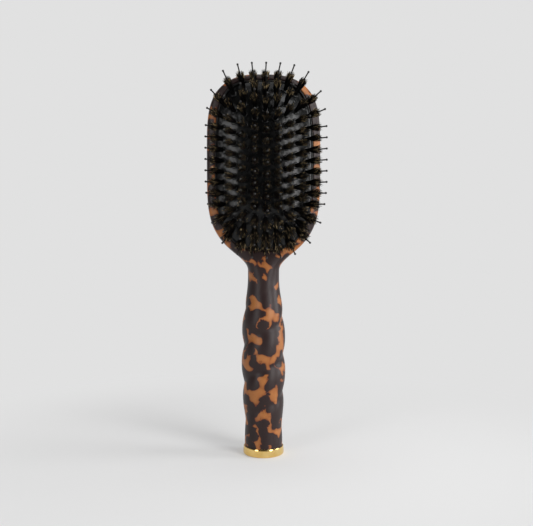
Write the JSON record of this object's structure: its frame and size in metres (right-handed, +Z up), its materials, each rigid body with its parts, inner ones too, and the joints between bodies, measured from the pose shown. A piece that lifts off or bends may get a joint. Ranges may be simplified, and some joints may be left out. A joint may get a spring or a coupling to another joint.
{
  "type": "vanity hairbrush",
  "caption": "Upright cushioned paddle hairbrush with a twisted tortoiseshell handle, boar tufts with ball-tipped nylon pins, and a flat gold end cap to stand on.",
  "frame": {"origin": "centre of the end cap's flat base, on which the brush stands", "axes": "+Z up the handle to the top of the head; the tufts face -Y and the smooth back faces +Y; +X to the right seen from the tuft side"},
  "size_m": [0.0762, 0.0501, 0.2497],
  "materials": {
    "tortoiseshell": "satin",
    "cushion_rubber": "satin",
    "black_plastic": "satin",
    "plug_nylon": "satin",
    "boar_hair": "satin",
    "pin_nylon": "gloss",
    "gold_plate": "polished",
    "washer_rubber": "matte",
    "stud_steel": "satin",
    "insert_brass": "satin"
  },
  "bodies": {
    "brush": {"handle_body": "tortoiseshell", "air_cushion": "cushion_rubber", "cushion_frame": "black_plastic", "end_cap": "gold_plate", "cap_washer": "washer_rubber", "cap_stud": "stud_steel", "threaded_insert": "insert_brass"},
    "tufts_centre": {"tuft_plugs_centre": "plug_nylon", "boar_tufts_centre": "boar_hair", "nylon_pins_centre": "pin_nylon"},
    "tufts_inner": {"tuft_plugs_inner": "plug_nylon", "boar_tufts_inner": "boar_hair", "nylon_pins_inner": "pin_nylon"},
    "tufts_middle": {"tuft_plugs_middle": "plug_nylon", "boar_tufts_middle": "boar_hair", "nylon_pins_middle": "pin_nylon"},
    "tufts_outer": {"tuft_plugs_outer": "plug_nylon", "boar_tufts_outer": "boar_hair", "nylon_pins_outer": "pin_nylon"},
    "tufts_edge": {"tuft_plugs_edge": "plug_nylon", "boar_tufts_edge": "boar_hair", "nylon_pins_edge": "pin_nylon"}
  },
  "joints": [
    {"name": "press_centre", "type": "slide", "parent": "brush", "child": "tufts_centre", "axis": [0, 1, 0], "range_m": [0, 0.0035], "stiffness_N_per_m": 1500, "deforming": ["air_cushion"]},
    {"name": "press_inner", "type": "slide", "parent": "brush", "child": "tufts_inner", "axis": [0, 1, 0], "range_m": [0, 0.00348], "stiffness_N_per_m": 100},
    {"name": "press_middle", "type": "slide", "parent": "brush", "child": "tufts_middle", "axis": [0, 1, 0], "range_m": [0, 0.00328], "stiffness_N_per_m": 100},
    {"name": "press_outer", "type": "slide", "parent": "brush", "child": "tufts_outer", "axis": [0, 1, 0], "range_m": [0, 0.00244], "stiffness_N_per_m": 100},
    {"name": "press_edge", "type": "slide", "parent": "brush", "child": "tufts_edge", "axis": [0, 1, 0], "range_m": [0, 0.00093], "stiffness_N_per_m": 100}
  ],
  "couplings": [
    {"joint": "press_inner", "follows": "press_centre", "ratio": 0.99},
    {"joint": "press_middle", "follows": "press_centre", "ratio": 0.93},
    {"joint": "press_outer", "follows": "press_centre", "ratio": 0.69},
    {"joint": "press_edge", "follows": "press_centre", "ratio": 0.26}
  ]
}
